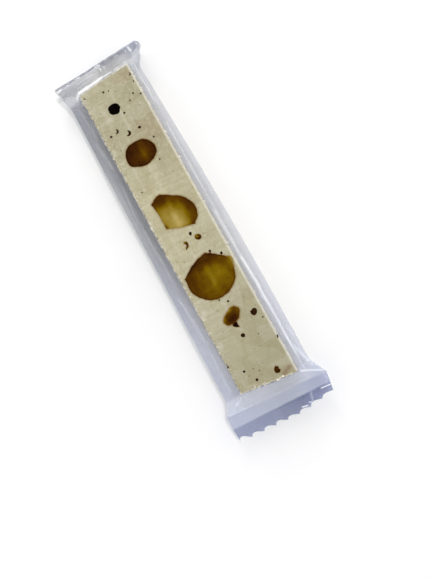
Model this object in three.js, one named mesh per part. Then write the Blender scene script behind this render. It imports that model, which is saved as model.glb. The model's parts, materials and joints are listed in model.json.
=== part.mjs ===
// A bar of nougat in its clear flow-wrapped film, shut at both ends by a crimped seal fin.
//
// Millimetres, +Z up. X runs along the bar and Y across it. The origin is in the middle of the bar, on
// the flat underside of the back seam, which is what the pack lies on. The film is drawn flat over the
// bar, hangs clear of its sides in two wings, slopes down past each cut end and closes in a fin at about
// half the bar's height. The head fin, at -X, is folded under. The tail fin, at +X, stands out flat.
//
// Every point of the film is named by two film coordinates: how far along the pack it lies, and its
// place across the flat film, from -halfWidth to +halfWidth. The pack is an upper and a lower sheet that
// share their side folds and their cut edges.

import * as THREE from 'three';

// Driving dimensions
const barLength = 119;
const barWidth = 20;
const barHeight = 11.9;
const flatWidth = 36.4;

// Film over the bar
const filmGap = 0.1;
const halfWidth = flatWidth / 2;
const seamThickness = 0.35;
const underside = seamThickness;
const upperside = underside + barHeight + 2 * filmGap;
const topEdge = barWidth / 2 + filmGap;

// Back seam, a flap that lies flat under the pack
const seamStart = -1;
const seamEnd = 8.1;
const seamStep = 0.1;

// Side wings: how far the side fold stands out from the bar near the head, near the tail, and by how
// much more in the middle
const wingHeight = 6.2;
const wings = {
  left: { head: 5.3, tail: 6.2, belly: 0.1 },
  right: { head: 3.4, tail: 5.1, belly: 0.9 },
};
const wingWaist = 0.2;
const wingSag = 0.3;
const wingSway = 0.45;
const swaysAlong = 1.7;
const flareStart = 1.5;

// Seal fins. Lean is how much a line moves outwards for each millimetre towards +Y. A corner starts to
// curl, and to be rounded off, at a share of the half width.
const finThickness = 0.3;
const teeth = 8;
const toothDepth = { left: 1.5, right: 0.95 };
const toothVariation = 0.12;
const variationsAcross = 2.5;
const toothSkew = 0.63;
const ribs = 4;
const ribDepth = 0.05;
const ribStart = 0.3;
const ribEnd = 4.1;
const finRipple = 0.3;
const ripplesAcross = 1.4;
const curlStart = 0.6;
const roundStart = 0.92;
const degree = Math.PI / 180;
const head = {
  side: -1,
  barEnd: barLength / 2,
  barEndLean: 0.075,
  root: 66.8,
  rootLean: 0.01,
  cornerRound: 0.9,
  flareEase: { left: 1.2, right: 1.5 },
  sealHeight: 7.2,
  slope: -5 * degree,
  foldStart: { left: 0, right: 1 },
  foldLength: 2.2,
  foldAngle: 120 * degree,
  cornerCurl: 32 * degree,
  finLength: 7.85,
  finLean: 0,
  finBow: 0.5,
  finWidth: { root: 35, cut: 32.8 },
  finShift: { root: 0, cut: 0 },
};
const tail = {
  side: 1,
  barEnd: barLength / 2,
  barEndLean: 0.12,
  root: 64.2,
  rootLean: 0.059,
  cornerRound: 0,
  flareEase: { left: 2.2, right: 1 },
  sealHeight: 6.2,
  slope: -3 * degree,
  foldStart: { left: 3.7, right: 5 },
  foldLength: 0.8,
  foldAngle: 24 * degree,
  cornerCurl: 0,
  finLength: 8.3,
  finLean: -0.075,
  finBow: 1.7,
  finWidth: { root: 36.9, cut: 35.6 },
  finShift: { root: -0.2, cut: -0.8 },
};

// Fineness of the faces
const columnsAcross = 48;
const bodyRows = 14;
const shoulderRows = 5;
const flangeRows = 3;
const walkSteps = 40;

const { lerp, smoothstep } = THREE.MathUtils;

// Share of the way from the left edge of the flat film to its right edge
function shareAcross(across) {
  return (across + halfWidth) / flatWidth;
}

function insideSeam(across) {
  return across >= seamStart && across <= seamEnd;
}

// Evenly spaced waves from one side fold to the other
function wave(across, count) {
  return Math.cos(2 * Math.PI * count * shareAcross(across));
}

// Outline of the pack halfway down its sides: distance of the side fold from the bar's side
function wingReach(across, along) {
  const wing = across < 0 ? wings.left : wings.right;
  return lerp(wing.head, wing.tail, along) + wing.belly * Math.sin(Math.PI * along);
}

// Cross-section of the film round the bar, as [y, z]. Each wing is a quadratic curve that leaves the
// bar's edge steeply and flattens out towards the side fold.
function bodySection(across, along, upper) {
  const floor = insideSeam(across) ? 0 : underside;
  const edgeZ = upper ? upperside : floor;
  const beyond = Math.abs(across) - topEdge;
  if (beyond <= 0) {
    return [across, edgeZ];
  }
  const reach = wingReach(across, along);
  const share = beyond / (halfWidth - topEdge);
  const bend = 2 * share * (1 - share);
  const out = bend * wingWaist + share ** 2;
  const level = (1 - share) ** 2 + bend * wingSag;
  const side = Math.sign(across);
  const foldZ = wingHeight + wingSway * Math.sin(Math.PI * (2 * swaysAlong * along + side / 2));
  return [side * (topEdge + reach * out), lerp(foldZ, edgeZ, level)];
}

// X of the line where the film leaves the bar's end; towards the side folds it starts a little sooner
function shoulderStart(end, across) {
  const lean = end.barEndLean * THREE.MathUtils.clamp(across, -topEdge, topEdge);
  const flare = flareStart * smoothstep(Math.abs(across), topEdge, halfWidth);
  return end.side * (end.barEnd + filmGap + lean - flare);
}

// X of the line where the fin begins. The right corner of the head's is rounded off.
function finRoot(end, across) {
  const rounded = end.cornerRound * smoothstep(across, roundStart * halfWidth, halfWidth);
  return end.side * (end.root + end.rootLean * across - rounded);
}

// Length of the fin from its root to its toothed edge. Each tooth rises slowly and drops steeply.
function finReach(end, across) {
  const share = shareAcross(across);
  const bow = end.finBow * (1 - (across / halfWidth) ** 2);
  const uneven = 1 + toothVariation * wave(across, variationsAcross);
  const depth = uneven * lerp(toothDepth.left, toothDepth.right, share);
  const alongTooth = (teeth * share) % 1;
  const valley = depth * Math.sin(Math.PI * alongTooth ** toothSkew);
  return end.finLength + end.finLean * across + bow - valley;
}

// Y of a point of the fin: the fin narrows a little, and leans, towards its cut edge
function finSide(end, across, walked) {
  const share = walked / end.finLength;
  const width = lerp(end.finWidth.root, end.finWidth.cut, share);
  return (across * width) / flatWidth + lerp(end.finShift.root, end.finShift.cut, share);
}

// A point of the fin at a walked distance from its root, with the fold turned on the way. The sheets
// close on each other at the side folds and at the cut edge.
function finPoint(end, across, walked, upper, atCut = false) {
  const foldStart = lerp(end.foldStart.left, end.foldStart.right, shareAcross(across));
  const curl = end.cornerCurl * smoothstep(across, curlStart * halfWidth, halfWidth);
  const step = walked / walkSteps;
  let out = 0;
  let rise = 0;
  let heading = end.slope;
  for (let i = 0; i < walkSteps; i += 1) {
    const turned = smoothstep((i + 0.5) * step, foldStart, foldStart + end.foldLength);
    heading = end.slope - (end.foldAngle - curl) * turned;
    out += step * Math.cos(heading);
    rise += step * Math.sin(heading);
  }
  const seamLayer = insideSeam(across) ? seamThickness : 0;
  const closed = atCut || Math.abs(across) >= halfWidth;
  const layer = upper ? finThickness / 2 : -finThickness / 2 - seamLayer;
  const ribbed = !closed && walked >= ribStart && walked <= ribEnd;
  const ribShare = (walked - ribStart) / (ribEnd - ribStart);
  const rib = ribbed ? ribDepth * Math.cos(2 * Math.PI * ribs * ribShare) : 0;
  const ripple = finRipple * (walked / end.finLength) * wave(across, ripplesAcross);
  const lift = (closed ? 0 : layer) + rib + ripple;
  return new THREE.Vector3(
    finRoot(end, across) + end.side * (out - lift * Math.sin(heading)),
    finSide(end, across, walked),
    end.sealHeight + rise + lift * Math.cos(heading),
  );
}

function bodyPoint(across, along, upper) {
  const [y, z] = bodySection(across, along, upper);
  return new THREE.Vector3(
    lerp(shoulderStart(head, across), shoulderStart(tail, across), along),
    y,
    z,
  );
}

// The shoulder is ruled from the section at the bar's end to the root of the fin, and flares late
function shoulderPoint(end, across, share, upper) {
  const start = bodyPoint(across, end === tail ? 1 : 0, upper);
  const root = finPoint(end, across, 0, upper);
  const flare = share ** lerp(end.flareEase.left, end.flareEase.right, shareAcross(across));
  const point = start.clone().lerp(root, share);
  point.y = lerp(start.y, root.y, flare);
  return point;
}

function spread(from, to, count) {
  return Array.from({ length: count + 1 }, (_, i) => lerp(from, to, i / count));
}

// Places across the film where each row has its points, with both steps of the back seam
function rowColumns() {
  const bySeam = [seamStart - seamStep, seamStart, seamEnd, seamEnd + seamStep];
  const clear = (across) => bySeam.every((s) => Math.abs(s - across) > seamStep);
  const even = spread(-halfWidth, halfWidth, columnsAcross).filter(clear);
  return [...even, ...bySeam].sort((a, b) => a - b);
}

// Rows of the pack from the head's cut edge to the tail's, each with the place of its points
function packRows() {
  const ribZone = (end) => spread(ribStart, ribEnd, 2 * ribs).map((walked) => ({
    place: (across, upper) => finPoint(end, across, walked, upper),
  }));
  const flange = (end) => spread(0, 1, flangeRows).slice(1).map((share) => ({
    cutEdge: share === 1,
    place: (across, upper) => {
      const walked = lerp(ribEnd, finReach(end, across), share);
      return finPoint(end, across, walked, upper, share === 1);
    },
  }));
  const shoulder = (end) => spread(1, 0, shoulderRows).slice(0, -1).map((share) => ({
    place: (across, upper) => shoulderPoint(end, across, share, upper),
  }));
  const body = spread(0, 1, bodyRows).map((along) => ({
    place: (across, upper) => bodyPoint(across, along, upper),
  }));
  return [
    ...flange(head).reverse(),
    ...ribZone(head).reverse(),
    ...shoulder(head),
    ...body,
    ...shoulder(tail).reverse(),
    ...ribZone(tail),
    ...flange(tail),
  ];
}

// Two triangles between each pair of columns of neighbouring rows. Their diagonals mirror about the
// middle and turn so that no corner triangle lies on the shared edges alone.
function stitch(first, second, columns, upper, faces) {
  for (let i = 0; i < columns.length - 1; i += 1) {
    const [a, b, c, d] = [first.points[i], second.points[i], second.points[i + 1], first.points[i + 1]];
    const leftHalf = columns[i + 1] <= 0;
    const pair = leftHalf !== Boolean(first.cutEdge) ? [[a, b, d], [d, b, c]] : [[a, b, c], [a, c, d]];
    for (const corners of pair) {
      faces.push(...(upper ? corners : corners.reverse()));
    }
  }
}

// The closed pack. The two sheets share the points of the side folds and of the cut edges.
function packGeometry() {
  const rows = packRows();
  const columns = rowColumns();
  const places = [];
  const faces = [];
  const addPoint = (row, across, upper) => places.push(row.place(across, upper)) - 1;
  const sheets = [true, false].map((upper) => rows.map((row) => ({ ...row, upper, points: [] })));
  rows.forEach((row, r) => columns.forEach((across) => {
    const shared = row.cutEdge || Math.abs(across) >= halfWidth;
    const top = addPoint(row, across, true);
    sheets[0][r].points.push(top);
    sheets[1][r].points.push(shared ? top : addPoint(row, across, false));
  }));
  for (const sheet of sheets) {
    for (let r = 1; r < sheet.length; r += 1) {
      stitch(sheet[r - 1], sheet[r], columns, sheet[r].upper, faces);
    }
  }
  const geometry = new THREE.BufferGeometry().setFromPoints(places);
  geometry.setIndex(faces);
  geometry.computeVertexNormals();
  return geometry;
}

const film = new THREE.MeshStandardMaterial({
  color: new THREE.Color(0.72, 0.74, 0.8),
  roughness: 0.15,
  metalness: 0,
});

const pack = new THREE.Mesh(packGeometry(), film);
pack.name = 'wrapped_bar';

const model = new THREE.Group();
model.add(pack);

export default model;
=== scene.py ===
# A bar of nougat in clear flow-wrapped film, dressed around the CAD frame.
#
# The film takes the place of the frame's one solid and keeps its form. In it lies a cut block of nougat
# with bubbles, nuts sliced flush with its face, and crumbs along its edges.
#
# Sizes are millimetres in the frame's own axes: X along the bar, Y across it, and Z up. They turn into
# metres where a mesh is made.

import json
from dataclasses import dataclass
from math import cos, hypot, pi, prod, sin, sqrt

import bmesh
import bpy
import numpy as np
from mathutils import Matrix, Vector

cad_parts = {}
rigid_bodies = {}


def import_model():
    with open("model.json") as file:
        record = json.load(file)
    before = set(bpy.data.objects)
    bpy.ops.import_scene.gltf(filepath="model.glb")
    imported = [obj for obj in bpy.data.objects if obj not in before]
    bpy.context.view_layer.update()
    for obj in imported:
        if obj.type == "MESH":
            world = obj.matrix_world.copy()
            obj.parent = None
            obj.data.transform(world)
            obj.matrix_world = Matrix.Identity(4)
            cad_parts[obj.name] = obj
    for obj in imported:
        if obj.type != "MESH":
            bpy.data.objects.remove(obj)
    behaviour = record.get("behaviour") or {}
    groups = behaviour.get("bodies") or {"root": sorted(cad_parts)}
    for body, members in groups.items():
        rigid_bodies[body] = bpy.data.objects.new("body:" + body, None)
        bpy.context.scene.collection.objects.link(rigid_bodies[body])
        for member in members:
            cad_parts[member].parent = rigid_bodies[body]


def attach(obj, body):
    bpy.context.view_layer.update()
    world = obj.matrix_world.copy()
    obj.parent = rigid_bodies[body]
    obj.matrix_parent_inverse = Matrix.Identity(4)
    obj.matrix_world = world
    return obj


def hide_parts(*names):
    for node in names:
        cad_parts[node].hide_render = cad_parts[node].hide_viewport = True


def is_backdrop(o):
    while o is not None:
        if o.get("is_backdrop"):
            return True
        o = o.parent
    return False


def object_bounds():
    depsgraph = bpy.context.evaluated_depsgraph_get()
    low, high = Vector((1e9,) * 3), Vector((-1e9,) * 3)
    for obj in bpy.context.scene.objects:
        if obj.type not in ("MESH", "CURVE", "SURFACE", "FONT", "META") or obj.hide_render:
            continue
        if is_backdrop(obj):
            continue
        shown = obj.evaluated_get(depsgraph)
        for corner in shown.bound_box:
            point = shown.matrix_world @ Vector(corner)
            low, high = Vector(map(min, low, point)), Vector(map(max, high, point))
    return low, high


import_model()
cad_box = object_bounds()

MM = 0.001
DEGREE = pi / 180


# --- The pack, in the same named sizes as the CAD solid ---

BAR_LENGTH = 119.0
BAR_END = BAR_LENGTH / 2
BAR_HEIGHT = 11.9
FLAT_WIDTH = 36.4
HALF_WIDTH = FLAT_WIDTH / 2
FILM_GAP = 0.1
SEAM_THICKNESS = 0.35
UNDERSIDE = SEAM_THICKNESS
UPPERSIDE = UNDERSIDE + BAR_HEIGHT + 2 * FILM_GAP
# Half the width over which the film lies flat on the bar, and the back seam's reach under it
TOP_EDGE = 10.1
SEAM_SPAN = (-1.0, 8.1)
# The wings: height of their folds, how far they sag and sway, and the flare by the shoulders
WING_HEIGHT = 6.2
WING_WAIST = 0.2
WING_SAG = 0.3
WING_SWAY = 0.45
SWAYS_ALONG = 1.7
FLARE_START = 1.5
# The fins: teeth, ribs and ripples, and where the head's curls and rounds off, in half widths
FIN_THICKNESS = 0.3
TEETH = 8
TOOTH_DEPTHS = (1.5, 0.95)
TOOTH_VARIATION = 0.12
VARIATIONS_ACROSS = 2.5
TOOTH_SKEW = 0.63
RIBS = 4
RIB_DEPTH = 0.05
RIB_SPAN = (0.3, 4.1)
FIN_RIPPLE = 0.3
RIPPLES_ACROSS = 1.4
CURL_START = 0.6
ROUND_START = 0.92


@dataclass
class Wing:
    """How far a side fold stands out from the bar near the head, near the tail, and more between."""
    head: float
    tail: float
    belly: float


@dataclass
class End:
    """One end of the pack: the shoulder past the bar's cut end, and the seal fin with its fold.

    The shoulder's ease is given at its left and right fold, the fin's width and shift at root and cut.
    """
    side: int
    bar_end_lean: float
    root: float
    root_lean: float
    seal_height: float
    slope: float
    fold_left: float
    fold_right: float
    fold_length: float
    fold_angle: float
    corner_curl: float
    corner_round: float
    flare_ease: tuple
    fin_length: float
    fin_lean: float
    fin_bow: float
    fin_width: tuple
    fin_shift: tuple


@dataclass
class Sheet:
    """A layer of film: its height over or under the bar, and over the middle of a fin."""
    level: float
    fin_lift: float


LEFT_WING = Wing(head=5.3, tail=6.2, belly=0.1)
RIGHT_WING = Wing(head=3.4, tail=5.1, belly=0.9)
HEAD = End(
    side=-1, bar_end_lean=0.075, root=66.8, root_lean=0.01, seal_height=7.2, slope=-5 * DEGREE,
    fold_left=0.0, fold_right=1.0, fold_length=2.2, fold_angle=120 * DEGREE, corner_curl=32 * DEGREE,
    corner_round=0.9, flare_ease=(1.2, 1.5), fin_length=7.85, fin_lean=0.0, fin_bow=0.5,
    fin_width=(35.0, 32.8), fin_shift=(0.0, 0.0),
)
TAIL = End(
    side=1, bar_end_lean=0.12, root=64.2, root_lean=0.059, seal_height=6.2, slope=-3 * DEGREE,
    fold_left=3.7, fold_right=5.0, fold_length=0.8, fold_angle=24 * DEGREE, corner_curl=0.0,
    corner_round=0.0, flare_ease=(2.2, 1.0), fin_length=8.3, fin_lean=-0.075, fin_bow=1.7,
    fin_width=(36.9, 35.6), fin_shift=(-0.2, -0.8),
)
LAYER_GAP = 0.03
UPPER = Sheet(level=UPPERSIDE, fin_lift=FIN_THICKNESS / 2)
LOWER = Sheet(level=UNDERSIDE, fin_lift=-FIN_THICKNESS / 2)
SEAM_FACE = Sheet(level=UNDERSIDE - LAYER_GAP, fin_lift=-FIN_THICKNESS / 2 - LAYER_GAP)
SEAM_BACK = Sheet(level=0.0, fin_lift=-FIN_THICKNESS / 2 - SEAM_THICKNESS)


@dataclass
class Fade:
    """A soft step from its least value to 1, along one of film_measures."""
    measure: str
    start: float
    end: float
    least: float = 0.0

    def at(self, measures):
        return lerp(self.least, 1, smoothstep(measures[self.measure], self.start, self.end))


@dataclass
class Hump:
    """A soft hump of height 1 along one of film_measures."""
    measure: str
    middle: float
    width: float

    def at(self, measures):
        return bump(measures[self.measure], self.middle, self.width)


@dataclass
class Zone:
    """Haze and dark tint, from 0 to 1, of the film where all its bounds are high. In some zones the dark
    tint is painted shade.
    """
    haze_and_highlight: float
    tint_and_shade: float
    bounds: tuple = ()
    share: float = 1.0

    def at(self, measures):
        return self.share * together(self.bounds, measures)


IN_LEFT = Fade("left", -0.1, 0.6)
IN_RIGHT = Fade("right", -0.1, 0.6)
BY_HEAD = Fade("x", 45, -15)
BY_TAIL = Fade("x", -15, 45)
PAST_HEAD = Fade("head", 0.1, 1.0)
NOT_PAST_HEAD = Fade("head", 1.0, 0.1)
PAST_TAIL = Fade("tail", -0.1, 0.8)
NOT_PAST_TAIL = Fade("tail", 0.8, -0.1)
ON_FLAP = Fade("flap", 0, TAIL.fold_length)
# How far past the tail fin's root its darker flap begins, at the left and the right fold
FLAP_EDGE = (4.2, 3.3)

# Haze, dark tint and bounds. Each zone lies over those before it
ZONES = [
    # Over the bar
    Zone(0, 0.2),
    # The left wing, its dark tint partly the film's and partly painted shade as it lies away from the
    # light, with less of that shade by the tail; the dip beside the bar, painted shade of the bar; and the
    # rim past that shade
    Zone(0.08, 0.8, (IN_LEFT,)),
    Zone(0.18, 0.42, (IN_LEFT, BY_TAIL)),
    Zone(0, 1, (IN_LEFT, BY_HEAD, Hump("left", 0.5, 1.1))),
    Zone(0.12, 0.6, (Fade("left", 3, 4.6), Fade("x", -45, -20), BY_HEAD)),
    # The right wing, and the dip beside the bar, a band of painted shade
    Zone(0.12, 0.4, (IN_RIGHT,)),
    Zone(0.12, 0.34, (IN_RIGHT, BY_TAIL)),
    Zone(0.04, 0.6, (Hump("right", 0.6, 0.45), Fade("x", 45, -15, least=0.3)), share=0.8),
    # The head's shoulder, its left part and its right corner, and its fin, with a streak at the root
    Zone(0.21, 0.22, (PAST_HEAD,)),
    Zone(0.15, 0.44, (PAST_HEAD, Fade("y", -2, -9))),
    Zone(0.2, 0.42, (PAST_HEAD, Fade("y", 8, 12))),
    Zone(0.12, 0.66, (Hump("head_fin", -0.2, 1.3), Fade("y", -3, 4))),
    Zone(0.14, 0.78, (Fade("head_fin", 0.1, 0.5),)),
    # The tail's shoulder and its right corner, and its fin, with both corners and the darker flap, its dark
    # partly the tint of the sealed layers and partly painted shade where it turns down from the light
    Zone(0.32, 0.2, (PAST_TAIL,)),
    Zone(0.24, 0.8, (PAST_TAIL, Fade("y", 10, 16)), share=0.45),
    Zone(0.28, 0.32, (Fade("tail_fin", -0.3, 0.3),)),
    Zone(0.24, 0.8, (Fade("tail_fin", -0.4, 0.6), Fade("y", 6, 15)), share=0.8),
    Zone(0.24, 0.8, (Fade("tail_fin", -0.4, 0.6), Fade("y", -8, -18)), share=0.35),
    Zone(0.16, 0.9, (ON_FLAP,)),
    Zone(0.1, 1, (ON_FLAP, Hump("y", 10.5, 9.5))),
]
# A pale line at the root of the head's fin, which leaves the tint as it is
ROOT_LINE = Zone(0.6, 0, (Hump("head_fin", -0.3, 0.22), Fade("y", 3, -3)), share=0.6)

# How lilac the film is, and where
LILAC = [
    (1, (Fade("x", -30, 55),)),
    (0.4, (Fade("x", -40, -60), Fade("right", 0, 2))),
    (0.5, (IN_RIGHT, NOT_PAST_HEAD)),
    (0.25, (PAST_HEAD,)),
    (0.25, (IN_LEFT,)),
]


@dataclass
class Relief:
    """A smooth random surface, mostly within its height of 0, with its lengths along two axes."""
    height: float
    lengths: tuple
    seed: int
    waves: int = 14

    def at(self, u, v):
        draw = np.random.default_rng(self.seed)
        total = 0
        for _ in range(self.waves):
            turn = draw.uniform(0, 2 * pi)
            speed = draw.uniform(*WAVE_SPEEDS)
            phase = draw.uniform(0, 2 * pi)
            along = u * cos(turn) / self.lengths[0] + v * sin(turn) / self.lengths[1]
            total = total + np.sin(2 * pi * speed * along + phase)
        return self.height * total / sqrt(self.waves)


WAVE_SPEEDS = (0.6, 1.6)

# The upper sheet's slack waves, and where they begin past the bar's edges
SLACK = Relief(0.12, (14, 5), seed=1)
SLACK_BESIDE = (0.3, 1.5)
SLACK_PAST = (BAR_END + 1, BAR_END + 2.5)
# Sharp crinkles in the head's shoulder, and where they end along X
CRINKLES = Relief(1.4, (8, 3.5), seed=2)
CRINKLE_HEIGHT = 0.06
CRINKLE_HAZE = 0.08
CRINKLES_END = (BAR_END + 5, BAR_END + 6)
# The right wing's long fold, with a white line on it, a painted highlight, faint here and there. In pairs,
# by the head and
# by the tail: how far it lies past the bar's edge, and the line's width and whiteness
RIDGE_HEIGHT = 0.3
RIDGE_WIDTH = 0.45
RIDGE_OUT = (1.9, 2.2)
RIDGE_LINE = (0.30, 0.42)
RIDGE_HIGHLIGHT = (0.36, 0.60)
RIDGE_DRAWN = 0.75
RIDGE_BREAKS = Relief(0.4, (16, 1), seed=10)
# No crease reaches the pack's own edge or goes under with the head's fold
HEM = 1.0
FOLDED_UNDER = (-1.0, -0.4)


@dataclass
class Line:
    """A straight mark, with a height if it is a crease."""
    start: tuple
    end: tuple
    width: float
    strength: float
    height: float = 0.0


# Folds in the upper sheet: both ends, width, how white they are, and height. Their white is painted
# highlight: the glare and glints on the folds
CREASES = [Line(*row) for row in (
    # Painted glare along the bar's head edge
    ((-59.6, -11.2), (-60, -6.5), 0.8, 1, 0.1),
    ((-60, -6.5), (-60.5, -1.6), 0.62, 0.95, 0.1),
    ((-60.6, -0.9), (-60.7, -0.1), 0.62, 0.95, 0.1),
    ((-60.6, 0.9), (-60.7, 3.6), 0.34, 0.75, 0.08),
    ((-60.4, 4.6), (-60.2, 9.2), 0.9, 0.26, 0.02),
    ((-59.9, -3.8), (-59.6, -2.4), 0.4, 0.5, 0.06),
    # The shoulder by the head
    ((-61.9, -9.9), (-62.6, -5), 0.36, 0.3, 0.1),
    ((-63.9, -9.2), (-64.3, -3.2), 0.34, 0.34, 0.14),
    ((-67, 1), (-65.7, -14.5), 0.26, 0.4, 0.08),
    ((-66, 0.5), (-64.3, 0.9), 0.26, 0.6, 0.15),
    ((-65.6, 2), (-64.3, 2.3), 0.26, 0.5, 0.15),
    ((-62.6, 6.2), (-63.2, 9.6), 0.3, 0.3, 0.1),
    ((-66.2, -15.2), (-66, -16.8), 0.36, 0.9, 0.2),
    ((-65.8, -16.9), (-65.3, -17.5), 0.24, 0.7, 0.15),
    ((-64.3, -16.5), (-63.3, -17.1), 0.24, 0.7, 0.15),
    ((-67.9, 13), (-66, 13.3), 0.38, 0.7, 0.15),
    ((-61, 10.9), (-53, 11.7), 0.3, 0.3, 0.1),
    ((-66.6, 16.6), (-61.2, 11.6), 0.45, 0.3, 0.12),
    # The shoulder and the fin by the tail
    ((59.8, -11.4), (61, -13.6), 0.5, 0.55, 0.3),
    ((60.3, -9.6), (63.1, -17.6), 0.32, 0.25, 0.3),
    ((60.9, -9.2), (62.4, -7.2), 0.3, 0.35, 0.15),
    ((61.2, 10.9), (64.4, 17.4), 0.36, 0.72, 0.35),
    ((60.5, 10.6), (59.2, 15.6), 0.35, 0.35, 0.25),
    ((63.1, -17.7), (63.5, -9), 0.24, 0.5, 0.08),
    ((63.8, -8), (64.3, 12), 0.26, 0.36, 0.06),
    ((61.6, -8), (62.6, 9), 0.45, 0.3, 0.1),
    ((69.5, 14), (69.8, 17.8), 0.18, 0.95, 0.15),
    ((72, 5.4), (72.4, 7.2), 0.22, 1, 0.1),
    ((71.7, 8.3), (72.6, 9.6), 0.2, 0.9, 0.1),
    ((69.2, 10.2), (72.3, 9.4), 0.4, 0.3, 0.2),
    ((68.4, -11), (71.9, -10.2), 0.8, 0.18, 0.12),
    ((69, -3.2), (72.6, -4.6), 0.7, 0.18, 0.12),
    # Folds in the left wing
    ((-57, -12.8), (-44, -11.9), 0.45, 0.16, 0.14),
    ((-42, -13.4), (-31, -12.2), 0.6, 0.2, 0.14),
    ((-24, -12.4), (-9, -13.6), 0.45, 0.18, 0.16),
    ((-6, -13.2), (14, -12.6), 0.45, 0.22, 0.16),
    ((20, -13.8), (38, -12.6), 0.5, 0.3, 0.16),
    ((42, -12.8), (56, -13.6), 0.5, 0.3, 0.16),
    # Folds in the right wing
    ((0, 11.6), (18, 11.9), 0.45, 0.45, 0.1),
    ((18, 11.9), (30, 12.5), 0.5, 0.7, 0.1),
    ((30, 12.3), (44.5, 12.4), 0.48, 0.62, 0.1),
    ((33, 11.5), (37.4, 13.1), 0.3, 0.5, 0.1),
    ((46, 13.7), (48.8, 14.2), 0.55, 0.35, 0.1),
    ((53.4, 12.9), (58.8, 14.6), 0.8, 0.55, 0.15),
)]

# How much of the film's haze and tint its back seam adds
SEAM_FINISH = 0.04
# Gloss of the film seen straight on, how steeply it grows with the slant, and how rough it is
FILM_SHINE = 0.035
SLANT_POWER = 5.0
FILM_ROUGHNESS = 0.08

# Fineness of the film: columns a tooth over the bar and beside it, and rows, which crowd by the ends
MIDDLE_COLUMNS = 12
WING_COLUMNS = 26
SEAM_COLUMNS = 24
BODY_ROWS = 130
SHOULDER_ROWS = 30
FIN_ROWS = 64
ROW_CROWDING = 0.6
WALK_STEPS = 40
CREASE_ROUNDING = 3


# --- The bar inside it, as the cut face shows it ---

NOUGAT_TOP = UPPERSIDE - FILM_GAP
NOUGAT_BOTTOM = UNDERSIDE + FILM_GAP
NOUGAT_LEFT = -9.8
NOUGAT_RIGHT = 9.95
EDGE_RADIUS = 0.45
BLOCK_CELLS = (460, 60, 26)
SHARP_ANGLE = 45 * DEGREE
# Strokes of the knife lie a little off straight across the bar
KNIFE_TURN = 2 * DEGREE
KNIFE_SLANT = 0.12
KNIFE_MARKS = Relief(0.018, (0.9, 30), seed=3)
KNIFE_WAVES = Relief(0.02, (5, 3), seed=4)
# Lumps of the sides and ends. The left side is torn near its top edge: where, and how much more
SIDE_LUMPS = Relief(0.10, (2.4, 2.5), seed=5)
SIDE_GRAIN = Relief(0.10, (0.9, 1.6), seed=6)
END_LUMPS = Relief(0.10, (1.5, 2.0), seed=7)
TORN_BESIDE = (9.0, 9.7)
TORN_BELOW = (-3.0, -0.5)
TORN_SHARE = 1.2


@dataclass
class Nut:
    """A nut sliced flush with the top: outline, kinks in it, depth, and the tones of its face.

    Tones go from 0, dark brown, to 1, pale. Each glow is (x, y, reach along, reach across, added tone).
    """
    name: str
    depth: float
    base: float
    rim: float
    outline: list
    glows: list
    kinks: tuple = ()
    slot: str = "nut"


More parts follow.
